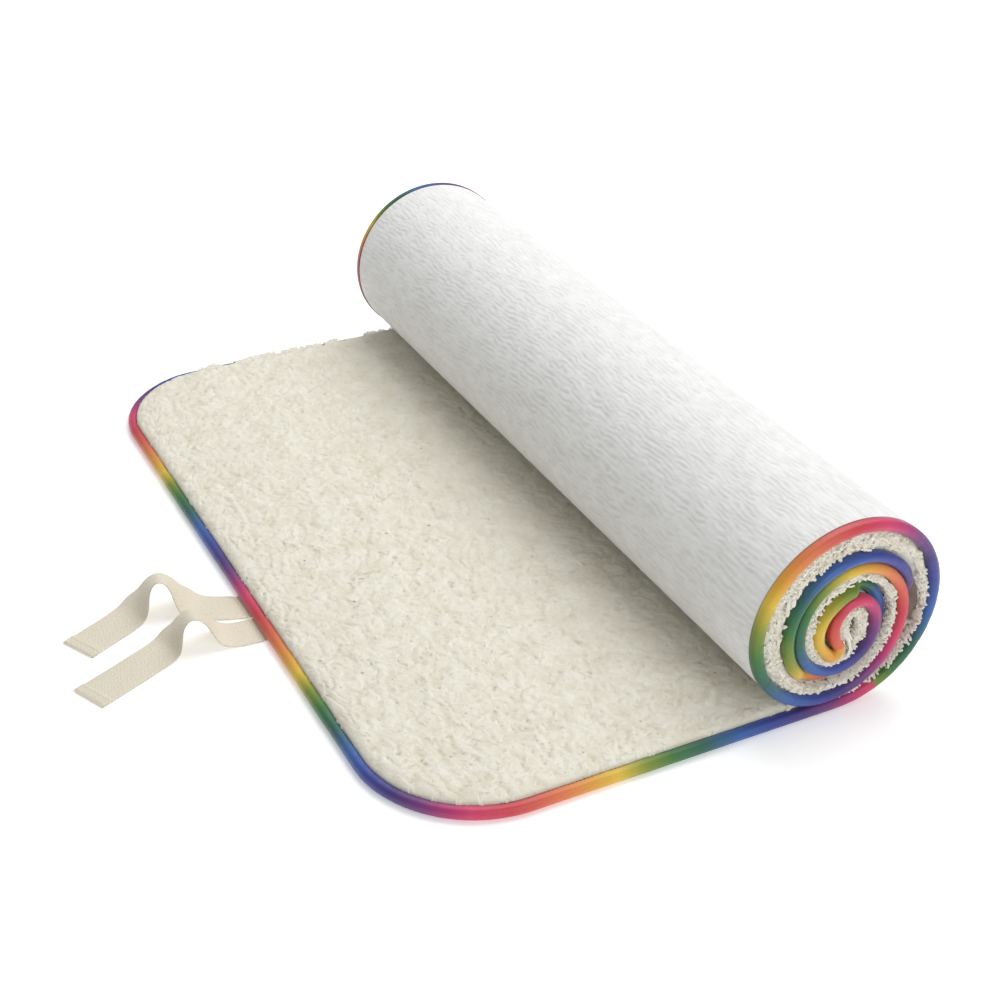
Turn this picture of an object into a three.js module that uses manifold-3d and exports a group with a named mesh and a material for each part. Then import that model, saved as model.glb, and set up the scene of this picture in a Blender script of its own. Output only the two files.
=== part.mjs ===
// Exercise mat of fleece pile on a ribbed backing, bound all round, half rolled up.
// Millimetres, +Z up. X runs along the mat from its free end, Y across it.
// The origin is on the floor under the roll, on the underside of the backing.
import * as THREE from 'three';
import Module from 'manifold-3d';

const wasm = await Module();
wasm.setup();

// ---- sizes of the sheet --------------------------------------------------
const HALF_WIDTH = 375; // the mat is 750 wide
const CORNER_R = 100; // rounded corners of the free end
const INNER_CORNER_R = 84; // rounded corners of the end inside the roll
const FREE_END_X = -366; // edge of the end that lies flat
const ROLL_START_X = 2; // where the underside leaves the floor
const HINGE_X = -120; // fold line of the free panel
const GAP = 0.3; // between separate pieces
const BACKING_T = 3.3;
const PILE_FREE = 15; // top of the pile where nothing presses on it
const PILE_ROLLED = 13; // the same inside the roll
const TAPE_W = 9; // binding, seen from above
const TAPE_T = 10; // binding, top to bottom
const LIP_T = 1.2; // each lip of the binding
const WEB_W = 3; // outer wall of the binding

// ---- profile of the roll -------------------------------------------------
// Radius of the backing's outer surface at every quarter turn of the winding.
const TURN_RADII = [87, 84, 88, 80, 72.5, 61, 51, 51, 38, 37, 19, 28, 36];
const FOLD_TURN = 1030; // turning, in degrees, at which the mat doubles back
const TURN_STEP = 0.5;
const TAIL_TURN = 500; // the doubled end's corners start beside this turning
const DEG = Math.PI / 180;

const smooth = (value, low, high) => {
  const t = Math.min(1, Math.max(0, (value - low) / (high - low)));
  return t * t * (3 - 2 * t);
};

function radiusAt(turn) {
  const k = Math.min(TURN_RADII.length - 2, Math.floor(turn / 90));
  return THREE.MathUtils.lerp(TURN_RADII[k], TURN_RADII[k + 1], turn / 90 - k);
}

// Distance between the two backs where the inner end is doubled back.
function backGap(turn) {
  return 1.5 + 4.5 * smooth(turn, 930, 1000) - 3 * smooth(turn, 1000, FOLD_TURN);
}

// Points of the winding: x, z, heading in radians and distance s along it.
function windInward() {
  const out = [{ x: ROLL_START_X, z: 0, head: 0, s: 0 }];
  for (let turn = TURN_STEP; turn <= FOLD_TURN; turn += TURN_STEP) {
    const last = out[out.length - 1];
    const mid = (turn - TURN_STEP / 2) * DEG;
    const ds = radiusAt(turn - TURN_STEP / 2) * TURN_STEP * DEG;
    out.push({
      x: last.x + ds * Math.cos(mid),
      z: last.z + ds * Math.sin(mid),
      head: turn * DEG,
      s: last.s + ds,
    });
  }
  return out;
}

const INWARD = windInward();
const turnPoint = (turn) => INWARD[Math.round(turn / TURN_STEP)];

function extend(list, x, z, head) {
  const last = list[list.length - 1];
  const s = last.s + Math.hypot(x - last.x, z - last.z);
  list.push({ x, z, head, s });
}

// The tight fold at the inner end: half a circle, turning the other way.
function addFold(list) {
  const end = turnPoint(FOLD_TURN);
  const r = backGap(FOLD_TURN) / 2;
  const cx = end.x + r * Math.sin(end.head);
  const cz = end.z - r * Math.cos(end.head);
  for (let step = 1; step <= 12; step += 1) {
    const head = end.head - step * 15 * DEG;
    extend(list, cx - r * Math.sin(head), cz + r * Math.cos(head), head);
  }
}

// The doubled end lies against the outside of the winding, running back along it.
function addDoubledEnd(list) {
  const headEnd = list[list.length - 1].head;
  for (let turn = FOLD_TURN - TURN_STEP; turn > 360; turn -= TURN_STEP) {
    const p = turnPoint(turn);
    const g = backGap(turn);
    const head = headEnd - (FOLD_TURN - turn) * DEG;
    extend(list, p.x + g * Math.sin(p.head), p.z - g * Math.cos(p.head), head);
  }
}

const PROFILE = [...INWARD];
addFold(PROFILE);
const FOLD_LAST = PROFILE.length - 1;
addDoubledEnd(PROFILE);
const doubledPoint = (turn) =>
  PROFILE[FOLD_LAST + Math.round((FOLD_TURN - turn) / TURN_STEP)];
const TAIL_S = doubledPoint(TAIL_TURN).s;
const FREE_END_S = FREE_END_X - ROLL_START_X;

// Place a point of the sheet: s along it, y across it, n up from its underside.
function place(s, y, n) {
  if (s <= 0) return new THREE.Vector3(ROLL_START_X + s, y, n);
  let low = 0;
  let high = PROFILE.length - 1;
  while (high - low > 1) {
    const mid = (low + high) >> 1;
    if (PROFILE[mid].s <= s) low = mid;
    else high = mid;
  }
  const a = PROFILE[low];
  const b = PROFILE[high];
  const t = (s - a.s) / (b.s - a.s);
  const head = THREE.MathUtils.lerp(a.head, b.head, t);
  const x = THREE.MathUtils.lerp(a.x, b.x, t) - n * Math.sin(head);
  const z = THREE.MathUtils.lerp(a.z, b.z, t) + n * Math.cos(head);
  return new THREE.Vector3(x, y, z);
}

// ---- pile height ---------------------------------------------------------
// Room between one turn and the next one inside it.
function roomInside(turn) {
  const a = turnPoint(turn);
  const b = turnPoint(turn + 360);
  return -(b.x - a.x) * Math.sin(a.head) + (b.z - a.z) * Math.cos(a.head);
}

function sharedPile(turn) {
  const room = roomInside(turn) - backGap(turn + 360) - 2 * GAP;
  return Math.min(PILE_ROLLED, room / 2);
}

// The edge of the doubled end presses the pile down just after the floor contact.
function pileInward(turn) {
  const pressed = smooth(turn, 15, 30) * (1 - smooth(turn, 75, 105));
  const single = Math.min(PILE_ROLLED, roomInside(Math.min(turn, 360)) - 2 * GAP);
  if (turn < 35) return THREE.MathUtils.lerp(single, 7.2, pressed);
  if (turn < FOLD_TURN - 360) {
    return THREE.MathUtils.lerp(sharedPile(turn), 7.2, pressed);
  }
  const nearFold = 1 - smooth(turn, 745, 770);
  return THREE.MathUtils.lerp(PILE_ROLLED, 9.8, nearFold * smooth(turn, 650, 690));
}

function pileDoubled(turn) {
  if (turn < 395) return 6;
  return THREE.MathUtils.lerp(sharedPile(turn - 360), 9.8, smooth(turn, 960, 990));
}

function turnOf(list, first, last, s) {
  let best = first;
  for (let i = first; i <= last; i += 1) {
    if (Math.abs(list[i].s - s) < Math.abs(list[best].s - s)) best = i;
  }
  return best;
}

function pileHeight(s) {
  if (s <= 0) {
    const away = Math.max(0, -6.5 - ROLL_START_X - s);
    return Math.min(PILE_FREE, roomInside(0) - 2 * GAP + (away * away) / 150);
  }
  const foldS = INWARD[INWARD.length - 1].s;
  if (s <= foldS) {
    return pileInward(turnOf(PROFILE, 0, INWARD.length - 1, s) * TURN_STEP);
  }
  if (s <= PROFILE[FOLD_LAST].s) return 9.8;
  const i = turnOf(PROFILE, FOLD_LAST, PROFILE.length - 1, s);
  return pileDoubled(FOLD_TURN - (i - FOLD_LAST) * TURN_STEP);
}

// ---- meshes --------------------------------------------------------------
const MATERIALS = {
  backing: new THREE.MeshStandardMaterial({ color: 0xf2f2ef, roughness: 0.9 }),
  pile: new THREE.MeshStandardMaterial({ color: 0xe9dfca, roughness: 1 }),
  binding: new THREE.MeshStandardMaterial({ color: 0x4a63b8, roughness: 0.5 }),
  tie: new THREE.MeshStandardMaterial({ color: 0xe6dcc6, roughness: 0.9 }),
};

function signedVolume(points, faces) {
  let sum = 0;
  const cross = new THREE.Vector3();
  for (const [a, b, c] of faces) {
    sum += points[a].dot(cross.crossVectors(points[b], points[c]));
  }
  return sum / 6;
}

// Loft closed rings into one solid; flat2 is the outline used to close its ends.
function loft(rings, flat2) {
  const size = rings[0].length;
  const faces = [];
  for (let k = 0; k + 1 < rings.length; k += 1) {
    for (let i = 0; i < size; i += 1) {
      const a = k * size + i;
      const b = k * size + ((i + 1) % size);
      faces.push([a, b, b + size], [a, b + size, a + size]);
    }
  }
  const lastRing = (rings.length - 1) * size;
  const clockwise = THREE.ShapeUtils.isClockWise(flat2);
  for (const [a, b, c] of THREE.ShapeUtils.triangulateShape(flat2, [])) {
    const [p, q] = clockwise ? [c, b] : [b, c];
    faces.push([a, q, p], [lastRing + a, lastRing + p, lastRing + q]);
  }
  const points = rings.flat();
  return orient(points, faces, size, lastRing);
}

// Turn the ends the same way as the sides, then the whole solid outwards.
function orient(points, faces, size, lastRing) {
  const sides = new Set();
  for (const [a, b, c] of faces.slice(0, faces.length)) {
    if (a < size && b < size && c < size) continue;
    if (a >= lastRing && b >= lastRing && c >= lastRing) continue;
    for (const [p, q] of [[a, b], [b, c], [c, a]]) sides.add(p * 1e6 + q);
  }
  const fixed = faces.map(([a, b, c]) => {
    const edges = [[a, b], [b, c], [c, a]];
    const isCap = (a < size && b < size && c < size)
      || (a >= lastRing && b >= lastRing && c >= lastRing);
    const same = edges.some(([p, q]) => sides.has(p * 1e6 + q));
    return isCap && same ? [a, c, b] : [a, b, c];
  });
  matchCap(fixed, size, lastRing);
  if (signedVolume(points, fixed) < 0) {
    return { points, faces: fixed.map(([a, b, c]) => [a, c, b]) };
  }
  return { points, faces: fixed };
}

// Inner triangles of an end take the direction of that end's border triangles.
function matchCap(faces, size, lastRing) {
  const inFirst = (f) => f.every((v) => v < size);
  const inLast = (f) => f.every((v) => v >= lastRing);
  for (const inCap of [inFirst, inLast]) {
    const caps = faces.map((f, i) => i).filter((i) => inCap(faces[i]));
    const border = (p, q) => (q - p + size) % size === 1 || (p - q + size) % size === 1;
    const done = new Set(caps.filter((i) => {
      const [a, b, c] = faces[i];
      return border(a % size, b % size) || border(b % size, c % size)
        || border(c % size, a % size);
    }));
    let open = caps.filter((i) => !done.has(i));
    while (open.length > 0) {
      const edges = new Set();
      for (const i of done) {
        const [a, b, c] = faces[i];
        for (const [p, q] of [[a, b], [b, c], [c, a]]) edges.add(p * 1e6 + q);
      }
      const next = [];
      for (const i of open) {
        const [a, b, c] = faces[i];
        const pairs = [[a, b], [b, c], [c, a]];
        if (pairs.some(([p, q]) => edges.has(q * 1e6 + p))) done.add(i);
        else if (pairs.some(([p, q]) => edges.has(p * 1e6 + q))) {
          faces[i] = [a, c, b];
          done.add(i);
        } else next.push(i);
      }
      open = next;
    }
  }
}

function toMesh(name, solid, material) {
  const geometry = new THREE.BufferGeometry();
  const flat = solid.points.flatMap((p) => [p.x, p.y, p.z]);
  geometry.setAttribute('position', new THREE.Float32BufferAttribute(flat, 3));
  geometry.setIndex(solid.faces.flat());
  geometry.computeVertexNormals();
  const mesh = new THREE.Mesh(geometry, material);
  mesh.name = name;
  return mesh;
}

function toManifold(solid) {
  const flat = new Float32Array(solid.points.flatMap((p) => [p.x, p.y, p.z]));
  const mesh = new wasm.Mesh({
    numProp: 3,
    vertProperties: flat,
    triVerts: new Uint32Array(solid.faces.flat()),
  });
  return new wasm.Manifold(mesh);
}

function fromManifold(manifold) {
  const mesh = manifold.getMesh();
  const points = [];
  for (let i = 0; i < mesh.numVert; i += 1) {
    const at = i * mesh.numProp;
    points.push(new THREE.Vector3(...mesh.vertProperties.slice(at, at + 3)));
  }
  const faces = [];
  for (let i = 0; i < mesh.numTri; i += 1) {
    faces.push([...mesh.triVerts.slice(3 * i, 3 * i + 3)]);
  }
  return { points, faces };
}

// ---- the sheet's layers --------------------------------------------------
// A rounded end: where its corners are centred, which way it points, its radius.
const FREE_END = { centreS: FREE_END_S + CORNER_R, way: -1, radius: CORNER_R };
const INNER_END = { centreS: TAIL_S, way: 1, radius: INNER_CORNER_R };

// A station says where a point at inset d from the edge lies: (s, half-width).
const straightStation = (s) => ({ at: () => [s, HALF_WIDTH], s });

function cornerStation(end, angle) {
  const { centreS, way, radius } = end;
  const at = (d) => [
    centreS + way * (radius - d) * Math.sin(angle),
    HALF_WIDTH - radius + (radius - d) * Math.cos(angle) + d,
  ];
  return { at, s: centreS + way * radius * Math.sin(angle) };
}

// Half-outlines, from the bottom up: inset from the edge, height.
const BACKING_OUTLINE = () => [
  [TAPE_W + GAP, 0],
  [TAPE_W + GAP, LIP_T + GAP],
  [WEB_W + GAP, LIP_T + GAP],
  [WEB_W + GAP, BACKING_T],
];

function pileOutline(top) {
  const inLip = TAPE_T - LIP_T - GAP;
  return [
    [WEB_W + GAP, BACKING_T + GAP],
    [WEB_W + GAP, inLip],
    [TAPE_W + GAP, inLip],
    [TAPE_W + GAP, Math.min(top - 0.1, TAPE_T + 0.6)],
    [22, top],
  ];
}

function layerRing(station, outline) {
  const side = outline.map(([d, n]) => {
    const [s, wide] = station.at(d);
    return [s, wide - d, n];
  });
  const right = side.map(([s, y, n]) => place(s, y, n));
  const left = side.map(([s, y, n]) => place(s, -y, n)).reverse();
  return [...right, ...left];
}

function layerSolid(stations, outlineAt) {
  const rings = stations.map((st) => layerRing(st, outlineAt(st.s)));
  const outline = outlineAt(stations[0].s);
  const right = outline.map(([d, n]) => new THREE.Vector2(HALF_WIDTH - d, n));
  const left = outline.map(([d, n]) => new THREE.Vector2(d - HALF_WIDTH, n)).reverse();
  return loft(rings, [...right, ...left]);
}

const backingSolid = (stations) => layerSolid(stations, BACKING_OUTLINE);
const pileSolid = (stations) =>
  layerSolid(stations, (s) => pileOutline(pileHeight(s)));

// ---- the binding ---------------------------------------------------------
// Outline of the folded tape: inset from the edge, height; open inwards.
const TAPE_OUTLINE = [
  [0, 2.6], [0.9, 0.8], [2.6, 0], [TAPE_W, 0], [TAPE_W, LIP_T], [WEB_W, LIP_T],
  [WEB_W, TAPE_T - LIP_T], [TAPE_W, TAPE_T - LIP_T], [TAPE_W, TAPE_T],
  [2.6, TAPE_T], [0.9, TAPE_T - 0.8], [0, TAPE_T - 2.6],
];

// A path point: position on the edge (s, y) and the inward direction (ms, my).
const edgePoint = (s, side) => ({ s, y: side * HALF_WIDTH, ms: 0, my: -side });

function cornerPoint(end, side, angle) {
  const ms = -end.way * Math.sin(angle);
  const my = -side * Math.cos(angle);
  const y = side * (HALF_WIDTH - end.radius) - end.radius * my;
  return { s: end.centreS - end.radius * ms, y, ms, my };
}

function bindingSolid(path) {
  const rings = path.map((p) =>
    TAPE_OUTLINE.map(([d, n]) => place(p.s + d * p.ms, p.y + d * p.my, n)));
  return loft(rings, TAPE_OUTLINE.map(([d, n]) => new THREE.Vector2(d, n)));
}

// Both edges and the rounded end between them, as one path.
function roundEndPath(edgeStations, end) {
  const angles = cornerAngles();
  const out = edgeStations.map((s) => edgePoint(s, -1));
  out.push(...angles.map((a) => cornerPoint(end, -1, a)));
  out.push(...angles.map((a) => cornerPoint(end, 1, a)).reverse());
  out.push(...edgeStations.map((s) => edgePoint(s, 1)).reverse());
  return out;
}

function cornerAngles() {
  const out = [];
  for (let angle = 5; angle <= 90; angle += 5) out.push(angle * DEG);
  return out;
}

// ---- ties ----------------------------------------------------------------
const TIE_W = 34;
const TIE_T = 1.2;
const HEM_LENGTH = 11;
const TIE_TILT = 0.36; // how far the near edge rises on the hump, per unit of width
const TIE_ROOT_X = -367.4;
const TAIL_INNER_X = -338;

// Centre line of each tie: leaves the edge, humps up once, lies down again.
const TIE_PATHS = {
  tie_far: [
    [TIE_ROOT_X, -41, 0.6], [-391, -31, 0.6], [-404, -23, 1.4], [-411, -18, 8],
    [-416, -14.5, 18], [-422, -11.5, 27], [-429, -9.5, 30.5], [-436, -8.5, 26],
    [-442, -8.5, 16], [-449, -9.5, 6], [-460, -15, 1], [-508, -40, 0.6],
  ],
  tie_near: [
    [TIE_ROOT_X, -77, 0.6], [-382, -76, 0.6], [-393, -74.5, 1.4], [-401, -73, 7],
    [-406.5, -72, 15], [-412.5, -70.5, 24], [-419, -69.5, 28.5], [-426, -68.5, 25],
    [-432, -68, 16], [-438, -68.5, 6], [-449, -73.5, 1], [-518, -106, 0.6],
  ],
};

function tieRing(curve, t, length) {
  const centre = curve.getPointAt(t);
  const run = curve.getTangentAt(t);
  const across = new THREE.Vector3(-run.y, run.x, 0).normalize();
  across.lerp(new THREE.Vector3(0, -1, 0), 1 - smooth(t, 0, 0.12)).normalize();
  across.setZ(TIE_TILT * smooth(centre.z, 4, 20)).normalize();
  const up = new THREE.Vector3().crossVectors(run, across).normalize();
  if (up.z < 0) up.negate();
  const hem = smooth((1 - t) * length, HEM_LENGTH + 1, HEM_LENGTH) * 0.9;
  const half = across.multiplyScalar(TIE_W / 2);
  const low = up.clone().multiplyScalar(-TIE_T / 2);
  const high = up.clone().multiplyScalar(TIE_T / 2 + hem);
  const corner = (side, lift) => centre.clone().addScaledVector(half, side).add(lift);
  return [corner(-1, low), corner(1, low), corner(1, high), corner(-1, high)];
}

function tieSolid(points) {
  const curve = new THREE.CatmullRomCurve3(points.map((p) => new THREE.Vector3(...p)));
  const length = curve.getLength();
  const rings = [];
  for (let k = 0; k <= 44; k += 1) rings.push(tieRing(curve, k / 44, length));
  const flat2 = [[-1, 0], [1, 0], [1, 1], [-1, 1]].map((c) => new THREE.Vector2(...c));
  return loft(rings, flat2);
}

// The sewn end of a tie: a flat tail under the edge of the mat.
function tailSolid(y) {
  const xs = [TIE_ROOT_X + GAP, TAIL_INNER_X];
  const rings = xs.map((x) => [
    new THREE.Vector3(x, y - TIE_W / 2, 0), new THREE.Vector3(x, y + TIE_W / 2, 0),
    new THREE.Vector3(x, y + TIE_W / 2, 1), new THREE.Vector3(x, y - TIE_W / 2, 1),
  ]);
  const flat2 = [[-1, 0], [1, 0], [1, 1], [-1, 1]].map((c) => new THREE.Vector2(...c));
  return loft(rings, flat2);
}

// Hollow the underside out where the tails are sewn on.
function withTailPockets(solid) {
  let body = toManifold(solid);
  for (const path of Object.values(TIE_PATHS)) {
    const high = 1 + GAP;
    const wide = TIE_W / 2 + GAP;
    const box = wasm.Manifold.cube([60, 2 * wide, high + 5])
      .translate([TAIL_INNER_X + GAP - 60, path[0][1] - wide, -5]);
    body = body.subtract(box);
  }
  return fromManifold(body);
}

// ---- bodies --------------------------------------------------------------
const SEGMENT_TURN = 30; // each rigid link of the outer turn
const FIRST_TURN = 15; // the part that stays on the floor ends here
const CORE_TURN = 345; // the part that stays wound starts here
const RING_TURN = 10;
const CUT = GAP / 2;

// Distances s from one turning to another, trimmed at both ends.
function turnStations(from, to, trimStart, trimEnd) {
  const out = [turnPoint(from).s + trimStart];
  for (let turn = from + RING_TURN; turn < to - 0.01; turn += RING_TURN) {
    out.push(turnPoint(Math.round(turn / TURN_STEP) * TURN_STEP).s);
  }
  out.push(turnPoint(to).s - trimEnd);
  return out;
}

function flatStations(from, to, count) {
  const out = [];
  for (let k = 0; k <= count; k += 1) out.push(from + ((to - from) * k) / count);
  return out;
}

function baseStations() {
  const start = HINGE_X - ROLL_START_X + CUT;
  const nearRoll = [-60, -50, -42, -35, -28, -21, -14, -7];
  return [start, ...nearRoll, ...turnStations(0, FIRST_TURN, 0, CUT)];
}

function coreStations() {
  const out = turnStations(CORE_TURN, FOLD_TURN, CUT, 0);
  for (let i = INWARD.length + 1; i <= FOLD_LAST; i += 2) out.push(PROFILE[i].s);
  const tail = [];
  for (let turn = CORE_TURN; turn < FOLD_TURN; turn += RING_TURN) {
    if (turn >= TAIL_TURN) tail.push(doubledPoint(turn).s);
  }
  out.push(...tail.reverse(), TAIL_S);
  return out.filter((s, i) => i === 0 || s - out[i - 1] > 0.4);
}

function addStrip(group, name, stations) {
  const sheet = stations.map(straightStation);
  group.add(toMesh(`${name}_backing`, backingSolid(sheet), MATERIALS.backing));
  group.add(toMesh(`${name}_pile`, pileSolid(sheet), MATERIALS.pile));
  for (const [side, label] of [[-1, 'front'], [1, 'back']]) {
    const path = stations.map((s) => edgePoint(s, side));
    const solid = bindingSolid(path);
    group.add(toMesh(`${name}_binding_${label}`, solid, MATERIALS.binding));
  }
}

function addFreePanel(group) {
  const edge = flatStations(HINGE_X - ROLL_START_X - CUT, FREE_END.centreS, 3);
  const corners = cornerAngles().map((a) => cornerStation(FREE_END, a));
  const sheet = [...edge.map(straightStation), ...corners];
  const backing = withTailPockets(backingSolid(sheet));
  group.add(toMesh('panel_backing', backing, MATERIALS.backing));
  group.add(toMesh('panel_pile', pileSolid(sheet), MATERIALS.pile));
  const binding = withTailPockets(bindingSolid(roundEndPath(edge, FREE_END)));
  group.add(toMesh('panel_binding', binding, MATERIALS.binding));
}

function addCore(group) {
  const edge = coreStations();
  const corners = cornerAngles().map((a) => cornerStation(INNER_END, a));
  const sheet = [...edge.map(straightStation), ...corners];
  group.add(toMesh('core_backing', backingSolid(sheet), MATERIALS.backing));
  group.add(toMesh('core_pile', pileSolid(sheet), MATERIALS.pile));
  const binding = bindingSolid(roundEndPath(edge, INNER_END));
  group.add(toMesh('core_binding', binding, MATERIALS.binding));
}

function addTies(group) {
  for (const [name, path] of Object.entries(TIE_PATHS)) {
    group.add(toMesh(name, tieSolid(path), MATERIALS.tie));
    group.add(toMesh(`${name}_tail`, tailSolid(path[0][1]), MATERIALS.tie));
  }
}

function buildMat() {
  const group = new THREE.Group();
  group.name = 'rolled_pile_mat';
  addStrip(group, 'base', baseStations());
  addFreePanel(group);
  for (let k = 0; FIRST_TURN + k * SEGMENT_TURN < CORE_TURN; k += 1) {
    const from = FIRST_TURN + k * SEGMENT_TURN;
    const name = `turn${String(k + 1).padStart(2, '0')}`;
    addStrip(group, name, turnStations(from, from + SEGMENT_TURN, CUT, CUT));
  }
  addCore(group);
  addTies(group);
  return group;
}

export default buildMat();
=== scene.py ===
"""A fleece exercise mat, half rolled up: ribbed backing, wool pile, rainbow binding, two ties.

Every piece is made from sheet coordinates: s along the mat, y across it and n up from
the underside of the backing, mapped through the same winding as the CAD model.
"""
import math

import bpy
import numpy as np
from mathutils import Matrix, Vector


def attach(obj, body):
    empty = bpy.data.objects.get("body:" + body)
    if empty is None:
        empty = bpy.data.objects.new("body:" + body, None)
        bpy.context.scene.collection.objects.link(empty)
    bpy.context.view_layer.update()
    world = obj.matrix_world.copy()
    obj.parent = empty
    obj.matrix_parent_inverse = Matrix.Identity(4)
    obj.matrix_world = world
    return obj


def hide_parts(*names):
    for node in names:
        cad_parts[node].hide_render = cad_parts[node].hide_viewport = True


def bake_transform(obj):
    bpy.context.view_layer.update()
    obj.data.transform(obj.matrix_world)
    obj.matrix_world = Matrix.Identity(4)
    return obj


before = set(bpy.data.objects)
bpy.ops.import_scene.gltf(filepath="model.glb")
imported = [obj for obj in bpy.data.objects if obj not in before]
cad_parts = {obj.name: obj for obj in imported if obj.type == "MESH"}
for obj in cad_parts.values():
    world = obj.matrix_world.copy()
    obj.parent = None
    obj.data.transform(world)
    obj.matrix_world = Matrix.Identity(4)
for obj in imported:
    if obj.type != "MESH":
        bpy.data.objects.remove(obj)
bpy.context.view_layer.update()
MM = 0.001
DEG = math.pi / 180

# ---- driving values, the same as the CAD model's
HALF_WIDTH = 375 * MM
CORNER_R = 100 * MM
INNER_CORNER_R = 84 * MM
FREE_END_X = -366 * MM
ROLL_START_X = 2 * MM
GAP = 0.3 * MM
BACKING_T = 3.3 * MM
PILE_FREE = 15 * MM
PILE_ROLLED = 16 * MM  # fluffed up to fill the roll at its ends
TAPE_W = 9 * MM
TURN_RADII = [87, 84, 88, 80, 72.5, 61, 51, 51, 38, 37, 19, 28, 36]
FOLD_TURN = 1030
TURN_STEP = 0.5
TAIL_TURN = 500
SEGMENT_TURN = 30
SEGMENTS = 12
FREE_END_S = FREE_END_X - ROLL_START_X
FREE_CENTRE_S = FREE_END_S + CORNER_R
TIE_W = 34 * MM
TIE_T = 1.2 * MM
TIE_ROOT_X = -367.4 * MM
TAIL_INNER_X = -338 * MM
HEM_LENGTH = 11 * MM
HEM_STITCH = 9.5 * MM  # the hem's row of stitches, from the loose end
TIE_TILT = 0.36  # how far the near edge rises on the hump, per unit of width
TIE_PATHS = {
    "tie_far": [(-367.4, -41, .6), (-391, -31, .6), (-404, -23, 1.4), (-411, -18, 8),
                (-416, -14.5, 18), (-422, -11.5, 27), (-429, -9.5, 30.5), (-436, -8.5, 26),
                (-442, -8.5, 16), (-449, -9.5, 6), (-460, -15, 1), (-508, -40, .6)],
    "tie_near": [(-367.4, -77, .6), (-382, -76, .6), (-393, -74.5, 1.4), (-401, -73, 7),
                 (-406.5, -72, 15), (-412.5, -70.5, 24), (-419, -69.5, 28.5), (-426, -68.5, 25),
                 (-432, -68, 16), (-438, -68.5, 6), (-449, -73.5, 1), (-518, -106, .6)],
}

# ---- driving values of the visible surfaces
FLAT_STOP_S = -42 * MM  # the flat piece ends here, under the roll
PANEL_BEND_X = (-150 * MM, -90 * MM)  # two points on the flat length, passed on to settle as its bend
PILE_INSET = 8.4 * MM  # the pile starts here, beside the binding
PILE_STEP = 2.0 * MM
TUFT_LONG = 12.0 * MM
TUFT_SHORT = 7.5 * MM
LOCK_STEPS = np.array([0, 0.25, 0.5, 0.76, 0.94, 1.0])  # along a lock, close at its tip
FRINGE_PER_METRE = 16000
RIB_PITCH = 4.6 * MM
RIB_HEIGHT = 0.72 * MM
POCKET_DEPTH = 1.25 * MM  # room in the underside for a tie's sewn end
CLOTH_INSET = TAPE_W + GAP  # the backing's grid starts here, beside the binding
PRESSED_PILE = 7.2 * MM  # under the roll, where it rests
FOLD_PILE = 9.8 * MM  # inside the doubled end
TAPE_STEP = 2.4 * MM
JOIN_S = 38 * MM  # where the two ends of the front binding meet
RAINBOW_FLAT = 345 * MM  # length of one run of the binding's colours
RAINBOW_ROLL = 357.6 * MM
RAINBOW_BACK = 203 * MM


# ---- small numeric helpers
def smooth(value, low, high):
    t = np.clip((np.asarray(value, float) - low) / (high - low), 0, 1)
    return t * t * (3 - 2 * t)


def mix(a, b, t):
    return a + (b - a) * t


def unit(vectors):
    return vectors / np.maximum(np.linalg.norm(vectors, axis=-1, keepdims=True), 1e-12)


def run_along(points):
    """Distance along a line of points, from its first one."""
    return np.concatenate([[0], np.cumsum(np.linalg.norm(np.diff(points, axis=0), axis=1))])


def evenly(start, stop, step):
    """Even values from start to stop, at most a step apart."""
    return np.linspace(start, stop, int(math.ceil((stop - start) / step)) + 1)


LATTICE = np.random.default_rng(11).random((256, 256))


def value_noise(u, v, seed):
    """Smooth noise between 0 and 1 on a lattice of unit cells."""
    iu, iv = np.floor(u).astype(int), np.floor(v).astype(int)
    fu, fv = smooth(u - iu, 0, 1), smooth(v - iv, 0, 1)
    row = [(iu + k + 37 * seed) % 256 for k in (0, 1)]
    col = [(iv + k + 91 * seed) % 256 for k in (0, 1)]
    low = mix(LATTICE[row[0], col[0]], LATTICE[row[1], col[0]], fu)
    high = mix(LATTICE[row[0], col[1]], LATTICE[row[1], col[1]], fu)
    return mix(low, high, fv)


def sheet_noise(s, y, size_s, size_y, seed):
    """Smooth noise over the sheet, with cells of the given size in millimetres."""
    return value_noise(s / (size_s * MM), y / (size_y * MM), seed)


def fractal(s, y, size_s, size_y, seed):
    """The same with finer noise of half that size on it."""
    fine = sheet_noise(2 * s, 2 * y, size_s, size_y, seed + 3)
    return (sheet_noise(s, y, size_s, size_y, seed) + 0.55 * fine) / (1 + 0.55)


def nearest_cell(u, v, seed):
    """Distance to the nearest jittered cell centre, and a random value of that cell."""
    iu, iv = np.floor(u).astype(int), np.floor(v).astype(int)
    best, pick = np.full(np.shape(u), 9.0), np.zeros(np.shape(u))
    for a, b in [(a, b) for a in (-1, 0, 1) for b in (-1, 0, 1)]:
        p, q = (iu + a + 53 * seed) % 256, (iv + b + 29 * seed) % 256
        dist = np.hypot(iu + a + 0.12 + 0.76 * LATTICE[p, q] - u,
                        iv + b + 0.12 + 0.76 * LATTICE[q, (p + 77) % 256] - v)
        pick = np.where(dist < best, LATTICE[(p + 120) % 256, (q + 60) % 256], pick)
        best = np.minimum(best, dist)
    return best, pick


# ---- the winding
def back_gap(turn):
    """Distance between the two backs where the inner end is doubled back."""
    return (1.5 + 4.5 * smooth(turn, 930, 1000) - 3 * smooth(turn, 1000, FOLD_TURN)) * MM


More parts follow.
